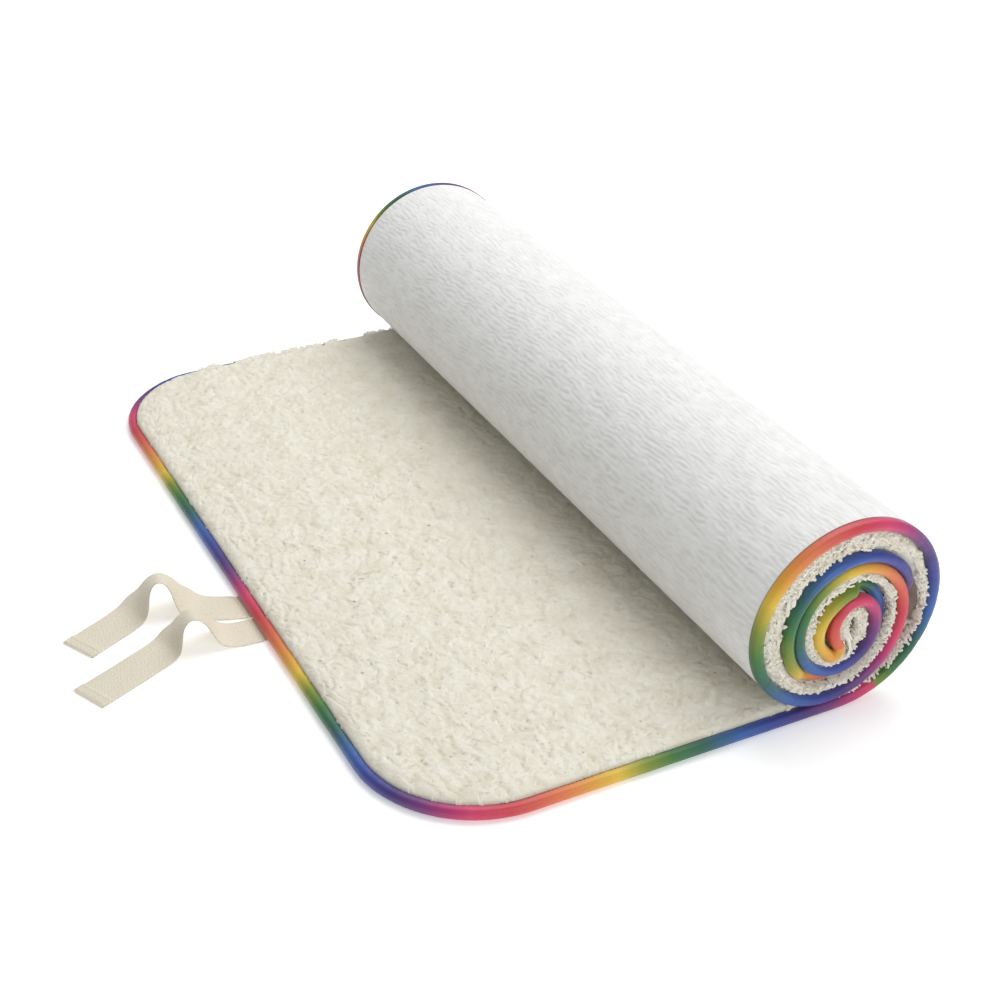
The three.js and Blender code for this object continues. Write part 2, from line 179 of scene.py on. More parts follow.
def wind_inward():
    """Rows of x, z, heading and distance along the outer surface of the winding."""
    mid = (np.arange(int(FOLD_TURN / TURN_STEP)) + 0.5) * TURN_STEP
    radius = np.interp(mid / 90, np.arange(len(TURN_RADII)), TURN_RADII) * MM
    ds = radius * TURN_STEP * DEG
    run = [np.concatenate([[0], np.cumsum(part)])
           for part in (ds * np.cos(mid * DEG), ds * np.sin(mid * DEG), ds)]
    head = np.arange(len(run[0])) * TURN_STEP * DEG
    return np.array([run[0] + ROLL_START_X, run[1], head, run[2]])


INWARD = wind_inward()
INWARD_COUNT = INWARD.shape[1]
INWARD_TURN = np.arange(INWARD_COUNT) * TURN_STEP
FOLD_S = INWARD[3, -1]
FOLD_COUNT = 12


def fold_points():
    """The tight fold at the inner end: half a circle, turning the other way."""
    x, z, head, _ = INWARD[:, -1]
    r = back_gap(FOLD_TURN) / 2
    angle = head - np.arange(1, FOLD_COUNT + 1) * 180 / FOLD_COUNT * DEG
    return np.array([x + r * math.sin(head) - r * np.sin(angle),
                     z - r * math.cos(head) + r * np.cos(angle), angle])


def doubled_points(head_end):
    """The doubled end runs back along the outside of the winding."""
    turn = np.arange(FOLD_TURN - TURN_STEP, 360, -TURN_STEP)
    x, z, head, _ = INWARD[:, (turn / TURN_STEP).astype(int)]
    g = back_gap(turn)
    return turn, np.array([x + g * np.sin(head), z - g * np.cos(head),
                           head_end - (FOLD_TURN - turn) * DEG])


def whole_winding():
    """x, z, heading, s and turning along the whole outer surface, from the roll's start."""
    fold = fold_points()
    turn, doubled = doubled_points(fold[2, -1])
    rows = np.concatenate([INWARD[:3], fold, doubled], axis=1)
    steps = np.hypot(np.diff(rows[0]), np.diff(rows[1]))[INWARD_COUNT - 1:]
    turns = np.concatenate([INWARD_TURN, np.full(FOLD_COUNT, float(FOLD_TURN)), turn])
    return (*rows, np.concatenate([INWARD[3], FOLD_S + np.cumsum(steps)]), turns)


WIND_X, WIND_Z, WIND_HEAD, WIND_S, WIND_TURN = whole_winding()
FOLD_LAST = INWARD_COUNT + FOLD_COUNT - 1
TAIL_S = float(np.interp(-TAIL_TURN, -WIND_TURN[FOLD_LAST + 1:], WIND_S[FOLD_LAST + 1:]))


def turn_s(turn):
    return float(np.interp(turn, INWARD_TURN, INWARD[3]))


def doubled_turn(s):
    """Turning at s on the doubled end."""
    return np.interp(s, WIND_S[FOLD_LAST:], WIND_TURN[FOLD_LAST:])


def place(s, y, n):
    """Points of the sheet in the row frame, as an array with a last axis of three."""
    s, y, n = np.broadcast_arrays(s, y, n)
    x = np.where(s <= 0, ROLL_START_X + s, np.interp(s, WIND_S, WIND_X))
    z = np.interp(s, WIND_S, WIND_Z)
    head = np.interp(s, WIND_S, WIND_HEAD)
    return np.stack([x - n * np.sin(head), y, z + n * np.cos(head)], axis=-1)


def upward(s):
    """The direction out of the pile at s."""
    head = np.interp(s, WIND_S, WIND_HEAD)
    return np.stack([-np.sin(head), 0 * head, np.cos(head)], axis=-1)


# ---- height of the pile
def room_inside(turn):
    """Room between one turn and the next one inside it."""
    ax, az, head = (np.interp(turn, INWARD_TURN, INWARD[k]) for k in (0, 1, 2))
    bx, bz = (np.interp(turn + 360, INWARD_TURN, INWARD[k]) for k in (0, 1))
    return -(bx - ax) * np.sin(head) + (bz - az) * np.cos(head)


def shared_pile(turn):
    """Half of the room that two facing piles share."""
    room = room_inside(turn) - back_gap(turn + 360) - 2 * GAP
    return np.minimum(PILE_ROLLED, room / 2)


def pile_inward(turn):
    """Height of the pile on the way in: pressed under the roll and lower near the fold."""
    pressed = smooth(turn, 15, 30) * (1 - smooth(turn, 75, 105))
    single = np.minimum(PILE_ROLLED, room_inside(np.minimum(turn, 360)) - 2 * GAP)
    outer = np.where(turn < 35, single, shared_pile(np.minimum(turn, FOLD_TURN - 360)))
    outer = mix(outer, PRESSED_PILE, pressed)
    near_fold = (1 - smooth(turn, 745, 770)) * smooth(turn, 650, 690)
    inner = mix(PILE_ROLLED, FOLD_PILE, near_fold)
    return np.where(turn < FOLD_TURN - 360, outer, inner)


def pile_doubled(turn):
    """Height of the pile on the doubled end, low at its tip."""
    high = mix(shared_pile(np.maximum(turn, 395) - 360), FOLD_PILE, smooth(turn, 960, 990))
    return np.where(turn < 395, 6 * MM, high)


WIND_PILE = np.concatenate([pile_inward(INWARD_TURN), np.full(FOLD_COUNT, FOLD_PILE),
                            pile_doubled(WIND_TURN[FOLD_LAST + 1:])])


def pile_height(s):
    """Height of the pile, which under the roll is no more than the room there."""
    away = np.maximum(0, -8.5 * MM - s)
    flat = np.minimum(PILE_FREE, room_inside(0.0) - 2 * GAP + away ** 2 / (150 * MM))
    return np.where(s <= 0, flat, np.interp(s, WIND_S, WIND_PILE))


TUCK_FROM, TUCK_TO = 885, 690  # turnings between which the doubled end is tucked in


def tucked(s):
    """How far the edges of the doubled end are drawn in, out of sight."""
    turn = doubled_turn(s)
    inside = smooth(turn, TUCK_TO - 25, TUCK_TO + 5) * (1 - smooth(turn, TUCK_FROM, TUCK_FROM + 25))
    return np.where(s > FOLD_S, 10 * MM * inside, 0)


# ---- the outline of the sheet
def beyond_ends(s):
    """How far s lies past the start of each rounded end, and that end's corner radius."""
    return (FREE_CENTRE_S - s, CORNER_R), (s - TAIL_S, INNER_CORNER_R)


def half_width(s, inset):
    """Half the width of the mat at s, for an outline moved in by inset."""
    wide = HALF_WIDTH - inset - tucked(s)
    for beyond, radius in beyond_ends(s):
        reach = np.clip(beyond, 0, radius - inset)
        corner = HALF_WIDTH - radius + np.sqrt((radius - inset) ** 2 - reach ** 2)
        wide = np.where(beyond > 0, corner, wide)
    return wide


def edge_distance(s, y):
    """Distance in from the edge of the mat."""
    out = HALF_WIDTH - tucked(s) - np.abs(y)
    for beyond, radius in beyond_ends(s):
        across = np.abs(y) - (HALF_WIDTH - radius)
        corner = radius - np.hypot(beyond, np.maximum(across, 0))
        out = np.where(beyond > 0, np.minimum(out, corner), out)
    return out


def free_end_rows(inset, step):
    """Rows from the free end to where the roll takes over, with one more row at the end."""
    radius = CORNER_R - inset
    corner = FREE_CENTRE_S - radius * np.cos(evenly(0, math.pi / 2, step / radius))
    flat = evenly(FREE_CENTRE_S, FLAT_STOP_S, step)[1:]
    return np.concatenate([corner, flat, flat[-1:] + step])


def wound_rows(start, stop, step):
    """Rows between two cuts, with one more row before and after."""
    inner = evenly(start, stop, step)
    gap = inner[1] - inner[0]
    return np.concatenate([[start - gap], inner, [stop + gap]])


def finer_at_fold(rows):
    """The same rows with many more where the mat doubles back."""
    extra = np.arange(FOLD_S - 12 * MM, FOLD_S + 16 * MM, 0.6 * MM)
    keep = rows[(rows < extra[0] - 0.3 * MM) | (rows > extra[-1] + 0.3 * MM)]
    return np.sort(np.concatenate([keep, extra]))


def inner_end_rows(start, inset, step):
    """Rows from a cut to the rounded inner end, with one more row before."""
    radius = INNER_CORNER_R - inset
    corner = TAIL_S + radius * np.sin(evenly(0, math.pi / 2, step / radius)[1:])
    rows = np.concatenate([[start - step], evenly(start, TAIL_S, step), corner])
    return finer_at_fold(rows)


# ---- meshes
def add_object(name, data):
    obj = bpy.data.objects.new(name, data)
    bpy.context.scene.collection.objects.link(obj)
    return obj


def grid_normals(points, closed=False):
    """Normals of a grid of points from central differences; closed wraps the columns."""
    along = np.gradient(points, axis=0)
    if closed:
        across = np.roll(points, -1, axis=1) - np.roll(points, 1, axis=1)
    else:
        across = np.gradient(points, axis=1)
    return unit(np.cross(across, along))


def quads_of(*corners):
    """Rows of four point numbers, from four arrays of them."""
    return np.stack(corners, -1).reshape(-1, 4)


def facing_out(points, faces, caps):
    """The faces and caps of a closed form, turned so that they face outwards."""
    p0, p1, p2, p3 = (points[faces[:, k]] for k in range(4))
    volume = sum(np.einsum("ij,ij->i", p0, np.cross(*pair)).sum() for pair in ((p1, p2), (p2, p3)))
    return (faces[:, ::-1], [c[::-1] for c in caps]) if volume < 0 else (faces, caps)


def make_mesh(name, points, quads, caps, normals, sheet, values, materials, slots=None):
    """A mesh object with the coordinates of its cloth and the values that its material reads."""
    sizes = np.concatenate([np.full(len(quads), 4), [len(c) for c in caps]]).astype(int)
    corners = np.concatenate([quads.ravel()] + [np.asarray(c) for c in caps]).astype(int)
    mesh = bpy.data.meshes.new(name)
    mesh.vertices.add(points.size // 3)
    mesh.vertices.foreach_set("co", points.astype(np.float32).ravel())
    mesh.loops.add(len(corners))
    mesh.loops.foreach_set("vertex_index", corners)
    mesh.polygons.add(len(sizes))
    mesh.polygons.foreach_set("loop_start", np.cumsum(sizes) - sizes)
    for material in materials:
        mesh.materials.append(material)
    if slots is not None:
        mesh.polygons.foreach_set("material_index", slots.astype(np.int32))
    mesh.update(calc_edges=True)
    mesh.shade_smooth()
    coords = mesh.attributes.new("sheet", "FLOAT_VECTOR", "POINT")
    coords.data.foreach_set("vector", sheet.astype(np.float32).ravel())
    for key, data in values.items():
        layer = mesh.attributes.new(key, "FLOAT", "POINT")
        layer.data.foreach_set("value", np.asarray(data, np.float32).ravel())
    mesh.normals_split_custom_set_from_vertices(normals.reshape(-1, 3).tolist())
    return add_object(name, mesh)


def slab_faces(rows, cols):
    """Faces of a closed slab: a fine grid, and one strip per row on its other side."""
    at = np.arange(rows * cols).reshape(rows, cols)
    back = rows * cols + np.arange(rows * 2).reshape(rows, 2)
    fine = quads_of(at[:-1, :-1], at[:-1, 1:], at[1:, 1:], at[1:, :-1])
    left = quads_of(at[:-1, 0], at[1:, 0], back[1:, 0], back[:-1, 0])
    right = quads_of(at[1:, -1], at[:-1, -1], back[:-1, 1], back[1:, 1])
    plain = quads_of(back[:-1, 0], back[1:, 0], back[1:, 1], back[:-1, 1])
    caps = [[*at[0, ::-1], back[0, 0], back[0, 1]], [*at[-1], back[-1, 1], back[-1, 0]]]
    return np.concatenate([fine, left, right, plain]), caps


def join(*parts):
    """Grids of vectors as one list of them."""
    return np.concatenate([part.reshape(-1, 3) for part in parts])


def add_slab(name, s, y, n, ghosts, key, value, material):
    """A closed slab whose fine face is the grid s, y, n and whose other face is between
    backing and pile; ghosts are the rows at each end that only shape the normals."""
    shown = slice(ghosts[0], s.shape[0] - ghosts[1])
    points = place(s, y, n)
    normals = grid_normals(points)[shown]
    s, y, n, points, value = s[shown], y[shown], n[shown], points[shown], value[shown]
    ends_s, ends_y = s[:, [0, -1]], y[:, [0, -1]]
    back = place(ends_s, ends_y, BACKING_T)
    everything = join(points, back)
    quads, caps = facing_out(everything, *slab_faces(*s.shape))
    outward = np.sign(np.mean(n) - BACKING_T)
    lean = np.sum(normals * upward(s), axis=-1, keepdims=True)
    normals = normals * np.sign(np.sum(lean)) * outward
    sheet = join(np.stack([s, y, n], -1), np.stack([ends_s, ends_y, 0 * ends_s + BACKING_T], -1))
    padded = {key: np.concatenate([value.ravel(), np.zeros(ends_s.size)])}
    return make_mesh(name, everything, quads, caps, join(normals, -outward * upward(ends_s)),
                     sheet, padded, [material])


# ---- materials
def srgb(*display):
    """A colour given as 0-255 display values, in linear light."""
    values = (c / 255 for c in display)
    return (*(c / 12.92 if c <= 0.04045 else ((c + 0.055) / 1.055) ** 2.4 for c in values), 1.0)


class Shader:
    """A material and short ways to add nodes to it."""

    def __init__(self, name, roughness, sheen=0.0, sheen_rough=0.4, specular=0.3):
        self.material = bpy.data.materials.new(name)
        self.material.use_nodes = True
        self.nodes = self.material.node_tree.nodes
        self.surface = self.nodes["Principled BSDF"]
        self.fill(self.surface, {"Roughness": roughness, "Sheen Weight": sheen,
                                 "Sheen Roughness": sheen_rough, "Specular IOR Level": specular})

    def fill(self, node, sockets):
        """Sets each socket, by name or number, to a value or links another node's output to it."""
        for key, value in sockets.items():
            if isinstance(value, bpy.types.NodeSocket):
                self.material.node_tree.links.new(value, node.inputs[key])
            elif value is not None:
                node.inputs[key].default_value = value

    def node(self, kind, output, sockets, **settings):
        node = self.nodes.new(f"ShaderNode{kind}")
        for key, value in settings.items():
            setattr(node, key, value)
        self.fill(node, sockets)
        return node.outputs[output]

    def attribute(self, name, output="Fac"):
        return self.node("Attribute", output, {}, attribute_name=name)

    def noise(self, scale, detail, distortion=0.0, vector=None):
        """Noise over the cloth's own coordinates, or over another vector."""
        vector = vector or self.attribute("sheet", "Vector")
        stretched = self.node("Mapping", "Vector", {"Vector": vector, "Scale": scale})
        return self.node("TexNoise", "Fac", {"Vector": stretched, "Scale": 1.0, "Detail": detail,
                                             "Roughness": 0.55, "Distortion": distortion})

    def math(self, kind, *values):
        return self.node("Math", "Value", dict(enumerate(values)), operation=kind)

    def ramp(self, fac, stops):
        color = self.node("ValToRGB", "Color", {"Fac": fac})
        ramp = color.node.color_ramp
        ramp.elements[0].position, ramp.elements[0].color = stops[0]
        ramp.elements[1].position, ramp.elements[1].color = stops[-1]
        for position, shade in stops[1:-1]:
            ramp.elements.new(position).color = shade
        return color

    def multiply(self, a, b):
        return self.node("Mix", "Result", {"Factor": 1.0, "A": a, "B": b},
                         data_type="RGBA", blend_type="MULTIPLY")

    def bump(self, height, distance, strength=1.0, below=None):
        return self.node("Bump", "Normal", {"Height": height, "Distance": distance,
                                            "Strength": strength, "Normal": below})

    def finish(self, color, normal=None):
        self.fill(self.surface, {"Base Color": color, "Normal": normal})
        return self.material


def backing_material():
    """White felted backing with crinkled ribs across the mat, with painted shade between the ribs."""
    shader = Shader("ribbed_backing", roughness=0.92, sheen=0.08)
    rib = shader.noise((520, 120, 0), detail=4, distortion=0.6)
    grain = shader.noise((1500, 1100, 0), detail=2)
    tone = shader.noise((60, 25, 0), detail=3)
    rib_hollow_shade = shader.attribute("relief")
    # painted shade: the backing is greyer between the ribs, where shade falls
    low = shader.ramp(rib_hollow_shade, [(0.0, srgb(248, 248, 247)), (1.0, srgb(226, 225, 222))])
    soft = shader.ramp(tone, [(0.35, srgb(250, 250, 250)), (0.7, srgb(244, 244, 243))])
    normal = shader.bump(grain, 0.00025, 0.5, shader.bump(rib, 0.0006, 0.7))
    return shader.finish(shader.multiply(low, soft), normal)


def wool_material(name, light, shaded):
    """Cream wool with painted shade: paler on the tips of the tufts, darker and warmer between them,
    where shade falls.
    """
    shader = Shader(name, roughness=0.95, sheen=0.25, sheen_rough=0.5, specular=0.15)
    patch = shader.noise((45, 45, 0), detail=2)
    fibre = shader.noise((900, 900, 400), detail=3, distortion=1.2)
    tuft_shade = shader.attribute("tuft")
    # painted shade: the darker colour lies between the tufts, the light one on their crests
    base = shader.ramp(tuft_shade, [(0.0, shaded), (0.45, mix_color(shaded, light, 0.7)), (1.0, light)])
    tint = shader.ramp(patch, [(0.3, srgb(255, 254, 250)), (0.75, srgb(245, 240, 230))])
    return shader.finish(shader.multiply(base, tint), shader.bump(fibre, 0.0008, 0.6))


def mix_color(a, b, t):
    return tuple(mix(p, q, t) for p, q in zip(a, b))


RAINBOW = [
    (0.00, srgb(214, 66, 108)), (0.08, srgb(206, 62, 76)), (0.15, srgb(216, 92, 74)),
    (0.22, srgb(224, 128, 70)), (0.28, srgb(226, 160, 58)), (0.34, srgb(226, 190, 62)),
    (0.41, srgb(128, 146, 46)), (0.48, srgb(58, 118, 56)), (0.56, srgb(46, 100, 88)),
    (0.65, srgb(56, 100, 170)), (0.74, srgb(58, 72, 156)), (0.82, srgb(72, 56, 124)),
    (0.89, srgb(120, 58, 124)), (0.95, srgb(184, 54, 116)), (1.00, srgb(214, 66, 108)),
]


def tape_material():
    """Satin binding whose colour runs through the rainbow along its length, with painted shade along
    its inner edge beside the pile.
    """
    shader = Shader("rainbow_satin", roughness=0.42, sheen=0.15, specular=0.45)
    phase = shader.math("FRACT", shader.attribute("tape"))
    color = shader.ramp(phase, RAINBOW)
    weave = shader.noise((2600, 700, 0), detail=2)
    pucker = shader.noise((170, 60, 0), detail=2)
    shade = shader.ramp(weave, [(0.3, srgb(255, 255, 255)), (0.75, srgb(226, 226, 226))])
    normal = shader.bump(weave, 0.00012, 0.5, shader.bump(pucker, 0.0008, 0.5))
    # painted shade: darker along the binding's inner edge, where it meets the pile
    seam_shade = shader.ramp(shader.attribute("seam_shade"),
                         [(0.0, (1, 1, 1, 1)), (0.5, (0.8, 0.8, 0.8, 1)), (1.0, (0.3, 0.3, 0.3, 1))])
    color = shader.multiply(shader.multiply(color, shade), seam_shade)
    return shader.finish(color, normal)


def thread_material():
    """The binding's stitches, dyed like the tape and a little lighter."""
    shader = Shader("binding_thread", roughness=0.6, sheen=0.3)
    phase = shader.math("FRACT", shader.attribute("tape"))
    color = shader.ramp(phase, [(p, mix_color(c, (1, 1, 1, 1), 0.18)) for p, c in RAINBOW])
    twist = shader.noise((3000, 1500, 0), detail=1)
    shade = shader.ramp(twist, [(0.3, srgb(255, 255, 255)), (0.7, srgb(205, 205, 205))])
    return shader.finish(shader.multiply(color, shade), shader.bump(twist, 0.0002, 0.6))


def tie_material(name, light, shaded, ribs):
    """Ecru cotton tape with a herringbone weave, with painted shade in the weave's grooves."""
    shader = Shader(name, roughness=0.9, sheen=0.15, specular=0.2)
    sheet = shader.attribute("sheet", "Vector")
    run, across = (shader.node("SeparateXYZ", axis, {"Vector": sheet}) for axis in "XY")
    fold = shader.math("PINGPONG", across, 0.0042)
    slant = shader.math("ADD", run, shader.math("MULTIPLY", fold, 1.1))
    wave = shader.math("SINE", shader.math("MULTIPLY", slant, ribs))
    height = shader.math("MULTIPLY_ADD", wave, 0.5, 0.5)
    fuzz = shader.noise((900, 500, 0), detail=3)
    # painted shade: darker in the grooves of the weave, lighter on its ridges
    base = shader.ramp(height, [(0.0, shaded), (0.7, light)])
    tone = shader.ramp(fuzz, [(0.3, srgb(255, 254, 250)), (0.8, srgb(232, 226, 212))])
    normal = shader.bump(fuzz, 0.0003, 0.4, shader.bump(height, 0.0003, 0.8))
    return shader.finish(shader.multiply(base, tone), normal)


BACKING = backing_material()
# wool colours: the second one is the painted shade between the tufts
WOOL = wool_material("wool_pile", srgb(240, 239, 230), srgb(220, 212, 193))
STRAND = wool_material("wool_strands", srgb(241, 239, 231), srgb(231, 226, 212))
TAPE = tape_material()
THREAD = thread_material()
COTTON = tie_material("ecru_cotton", srgb(248, 243, 231), srgb(236, 228, 210), 4200)
COTTON_THREAD = tie_material("ecru_thread", srgb(246, 240, 226), srgb(214, 202, 178), 14000)


# ---- backing
def sheet_grid(rows, share, inset):
    """s and y over a length of the mat, for shares of the half width between -1 and 1."""
    s = rows[:, None] + 0 * share
    return s, half_width(s, inset) * share


def tail_pocket(s, y):
    """How far the underside gives way over the sewn ends of the ties."""
    near_end = 1 - smooth(s + ROLL_START_X, TAIL_INNER_X, TAIL_INNER_X + 3 * MM)
    out = 0 * s
    for path in TIE_PATHS.values():
        off = np.abs(y - path[0][1] * MM)
        out = out + (1 - smooth(off, TIE_W / 2 + 0.3 * MM, TIE_W / 2 + 3 * MM))
    return POCKET_DEPTH * near_end * np.minimum(out, 1)


def rib_depth(s, y):
    """Broken ribs across the mat, 0 on their crests to 1 between them."""
    drift = 3.0 * sheet_noise(s, y, 70, 110, seed=9)
    wander = 1.5 * (fractal(s, y, 8, 12, seed=5) - 0.5)
    wave = 0.5 - 0.5 * np.cos(2 * math.pi * (s / RIB_PITCH + drift + wander))
    broken = smooth(fractal(s, y, 6, 9, seed=12), 0.25, 0.7)
    grain = fractal(s, y, 1.9, 4.2, seed=3)
    return np.clip((0.15 + 0.5 * broken) * wave + 0.55 * grain - 0.08, 0, 1)


def add_backing(name, rows, ghosts, step_y):
    count = int(round(2 * (HALF_WIDTH - CLOTH_INSET) / step_y))
    s, y = sheet_grid(rows, np.linspace(-1, 1, count + 1), CLOTH_INSET)
    relief = rib_depth(s, y)
    fade = smooth(edge_distance(s, y), CLOTH_INSET, CLOTH_INSET + 2.5 * MM)
    n = RIB_HEIGHT * relief * fade + tail_pocket(s, y)
    # the rib depth also goes to the material, as painted shade between the ribs
    return add_slab(name, s, y, n, ghosts, "relief", relief, BACKING)


# ---- pile
def tuft_field(s, y):
    """Height of the curled locks, 0 between them to 1 on their crests."""
    warp_s = fractal(s, y, 17, 17, seed=21) - 0.5
    warp_y = fractal(s, y, 17, 17, seed=25) - 0.5
    u, v = s / TUFT_SHORT + 2.6 * warp_s, y / TUFT_LONG + 1.8 * warp_y
    near, pick = nearest_cell(u, v, seed=1)
    dome = np.clip(1 - (near / 0.85) ** 2, 0, 1) * (0.5 + 0.5 * pick)
    small, _ = nearest_cell(2.1 * u + 5, 2.3 * v, seed=4)
    curl = np.clip(1 - (small / 0.85) ** 2, 0, 1)
    rough = fractal(s, y, 2.4, 2.4, seed=31)
    return np.clip(0.62 * dome + 0.20 * curl + 0.28 * rough - 0.04, 0, 1)


def pile_surface(s, y):
    """Height of the pile's surface above the underside, and its tuft value."""
    wound = smooth(s, -30 * MM, 30 * MM)
    full = pile_height(s)
    d = edge_distance(s, y) - PILE_INSET
    low = np.minimum(8.6 * MM, full - 1.2 * MM)
    t = np.clip(d / mix(9 * MM, 5 * MM, wound), 0, 1)
    base = low + (full - low) * np.sqrt(1 - (1 - t) ** 2)
    swell = sheet_noise(s, y, 38, 38, seed=41) - 0.5
    tuft = tuft_field(s, y)
    free = 1 - smooth(s, -70 * MM, -20 * MM)
    tall = mix(1.7 * MM, 4.0 * MM, free) * smooth(t, -0.2, 0.7)
    n = base + tall * (tuft - 0.62) + 1.2 * MM * swell * free * t
    return np.minimum(n, full + 2.2 * MM * free), tuft


def pile_columns(step, middle=None):
    """Shares of the half width, close together near the edges, with an own step inside."""
    gaps, at = [], PILE_INSET
    while at < HALF_WIDTH:
        gaps.append(at)
        wide = mix(0.8 * MM, step, smooth(at, 16 * MM, 30 * MM))
        at += middle if middle and at > 32 * MM else wide
    side = 1 - (np.array(gaps) - PILE_INSET) / (at - PILE_INSET)
    return np.concatenate([-side, [0.0], side[::-1]])


def add_pile(name, rows, ghosts, *steps):
    s, y = sheet_grid(rows, pile_columns(*steps), PILE_INSET)
    n, tuft = pile_surface(s, y)
    wound = smooth(s, -20 * MM, 40 * MM)
    bulge = np.clip((edge_distance(s, y) - PILE_INSET) / (9 * MM), 0, 1)
    y = y + np.sign(y) * 6.0 * MM * wound * np.sin(math.pi * bulge ** 0.7) * (bulge < 1)
    shift = 0.9 * MM * smooth(bulge, 0.6, 1.0)
    s = s + shift * (sheet_noise(s, y, 3, 3, seed=51) - 0.5)
    # the tuft values also paint shade between the tufts in the wool's colour
    return add_slab(name, s, y, n, ghosts, "tuft", tuft, WOOL)


# ---- locks of the pile
def lock_paths(rng, s, y, lean_s, lean_y, arch, tip):
    """Six points along each curved lock, in sheet coordinates."""
    t = LOCK_STEPS
    n0, _ = pile_surface(s, y)
    first = rng.uniform(0, 2 * math.pi, len(s))
    turns = rng.uniform(1.5, 4.5, len(s)) * rng.choice([-1, 1], len(s))
    curl = rng.uniform(0.15, 0.3, len(s)) * np.hypot(lean_s, lean_y)
    s, y, lean_s, lean_y, n0, first, turns, curl, arch, tip = (
        a[:, None] for a in (s, y, lean_s, lean_y, n0, first, turns, curl, arch, tip))
    ps = s + lean_s * t + curl * (np.cos(first + turns * t) - np.cos(first))
    py = y + lean_y * t + curl * (np.sin(first + turns * t) - np.sin(first))
    ground, _ = pile_surface(ps, np.clip(py, -HALF_WIDTH, HALF_WIDTH))
    return ps, py, mix(n0, ground, 0.7) + arch * np.sin(math.pi * t) + tip * t


def pile_outward(s, y):
    """Direction out of the pile's surface, with the slopes of its tufts."""
    step = 1.5 * MM
    along, across = (
        place(s + a, y + b, pile_surface(s + a, y + b)[0])
        - place(s - a, y - b, pile_surface(s - a, y - b)[0])
        for a, b in ((step, 0), (0, step)))
    out = unit(np.cross(along, across))
    return out * np.sign(np.sum(out * upward(s), axis=-1, keepdims=True))


def add_locks(name, rng, paths, width, sides, lift, face=None, shade=0.0):
    """Tapered curved locks of wool, as tubes along their paths, with normals drawn to face, and
    painted shade: darker towards their roots and darker again by shade.
    """
    ps, py, pn = paths
    count, steps = ps.shape
    face = upward(ps) if face is None else face
    points = place(ps, py, pn)
    along = np.gradient(points, axis=1)
    across = unit(np.cross(along, upward(ps) + rng.normal(0, 0.2, (count, 1, 3))))
    raised = unit(np.cross(across, along))
    taper = np.array([0.5, 0.9, 1.0, 0.95, 0.7, 0.1])[:, None]
    radius = taper * width * rng.uniform(0.6, 1.25, (count, 1, 1)) / 2
    angle = math.pi / 2 + np.arange(sides) * 2 * math.pi / sides
    out = (across[:, :, None] * np.cos(angle)[:, None]
           + raised[:, :, None] * np.sin(angle)[:, None])
    rings = points[:, :, None] + radius[:, :, None] * out
    normals = unit(out + lift * face[:, :, None])
    at = np.arange(count * steps * sides).reshape(count, steps, sides)
    nxt = np.roll(at, -1, axis=2)
    quads = quads_of(at[:, :-1], at[:, 1:], nxt[:, 1:], nxt[:, :-1])
    sheet = np.repeat(np.stack(paths, -1)[:, :, None, :], sides, axis=2)
    # painted shade: each lock darker towards its root and darker by shade, with random tone on top
    tint = np.linspace(0.6, 0.95, steps) + rng.normal(0, 0.07, (count, 1)) - shade
    tuft = np.repeat(np.clip(tint, 0, 1)[:, :, None], sides, axis=2)
    return make_mesh(name, rings, quads, [], normals, sheet, {"tuft": tuft}, [STRAND])


def scatter(rng, start, stop, density):
    """Random points of the sheet between two distances, inside the binding."""
    count = int((stop - start) * 2 * HALF_WIDTH * density)
    s = rng.uniform(start, stop, count)
    y = rng.uniform(-HALF_WIDTH, HALF_WIDTH, count)
    inside = edge_distance(s, y) > PILE_INSET + 0.4 * MM
    return s[inside], y[inside]


def field_locks(name, seed, start, stop, density, long, width, arch, sides):
    """Locks over the whole surface, leaning the same way as their neighbours."""
    rng = np.random.default_rng(seed)
    s, y = scatter(rng, start, stop, density)
    sway = fractal(s, y, 26, 26, seed=61) * 4 * math.pi
    sway = sway + rng.normal(0, 0.5, len(s))
    reach = long * rng.uniform(0.6, 1.3, len(s))
    room = mix(1.0, 0.3, smooth(s, -60 * MM, -15 * MM))
    room = room * smooth(edge_distance(s, y), PILE_INSET - 4 * MM, PILE_INSET + 8 * MM)
    rise = arch * rng.uniform(0.4, 1.2, len(s)) * room
    reach = np.minimum(reach, 0.8 * MM + 0.6 * np.maximum(0, edge_distance(s, y) - PILE_INSET))
    tip = np.full(len(s), -0.5 * width)
    ps, py, pn = lock_paths(rng, s, y, reach * np.cos(sway), reach * np.sin(sway), rise, tip)
    # painted shade: locks in the valleys between the tufts are darker
    shade = 0.42 * (1 - smooth(pile_surface(ps, py)[1], 0.15, 0.7))
    return add_locks(name, rng, (ps, py, pn - 0.22 * width), width, sides, lift=1.8,
                     face=pile_outward(ps, py), shade=shade)


def edge_locks(name, seed, start, stop):
    """Locks that stand out sideways over the binding, on both edges."""
    rng = np.random.default_rng(seed)
    count = int((stop - start) * FRINGE_PER_METRE)
    s = rng.uniform(start, stop, count)
    side = np.where(rng.uniform(0, 1, count) < 0.5, -1.0, 1.0)
    deep = rng.uniform(0.3, 6.0, count) * MM
    y = side * (HALF_WIDTH - tucked(s) - PILE_INSET - deep)
    out = (rng.uniform(1.5, 4.8, count) * MM + 0.5 * deep) * smooth(s, -30 * MM, 10 * MM)
    lean_s = rng.normal(0, 2.6 * MM, count)
    tip = rng.uniform(-1.5, 3.0, count) * MM
    ps, py, pn = lock_paths(rng, s, y, lean_s, side * out, 0 * s, tip)
    pn = pn[:, :1] + tip[:, None] * mix(0.4, 1, LOCK_STEPS)
    outward = side[:, None, None] * np.array([0.0, 1.0, 0.0]) + 0.35 * upward(ps)
    return add_locks(name, rng, (ps, py, pn), 2.6 * MM, 5, lift=1.2, face=outward)


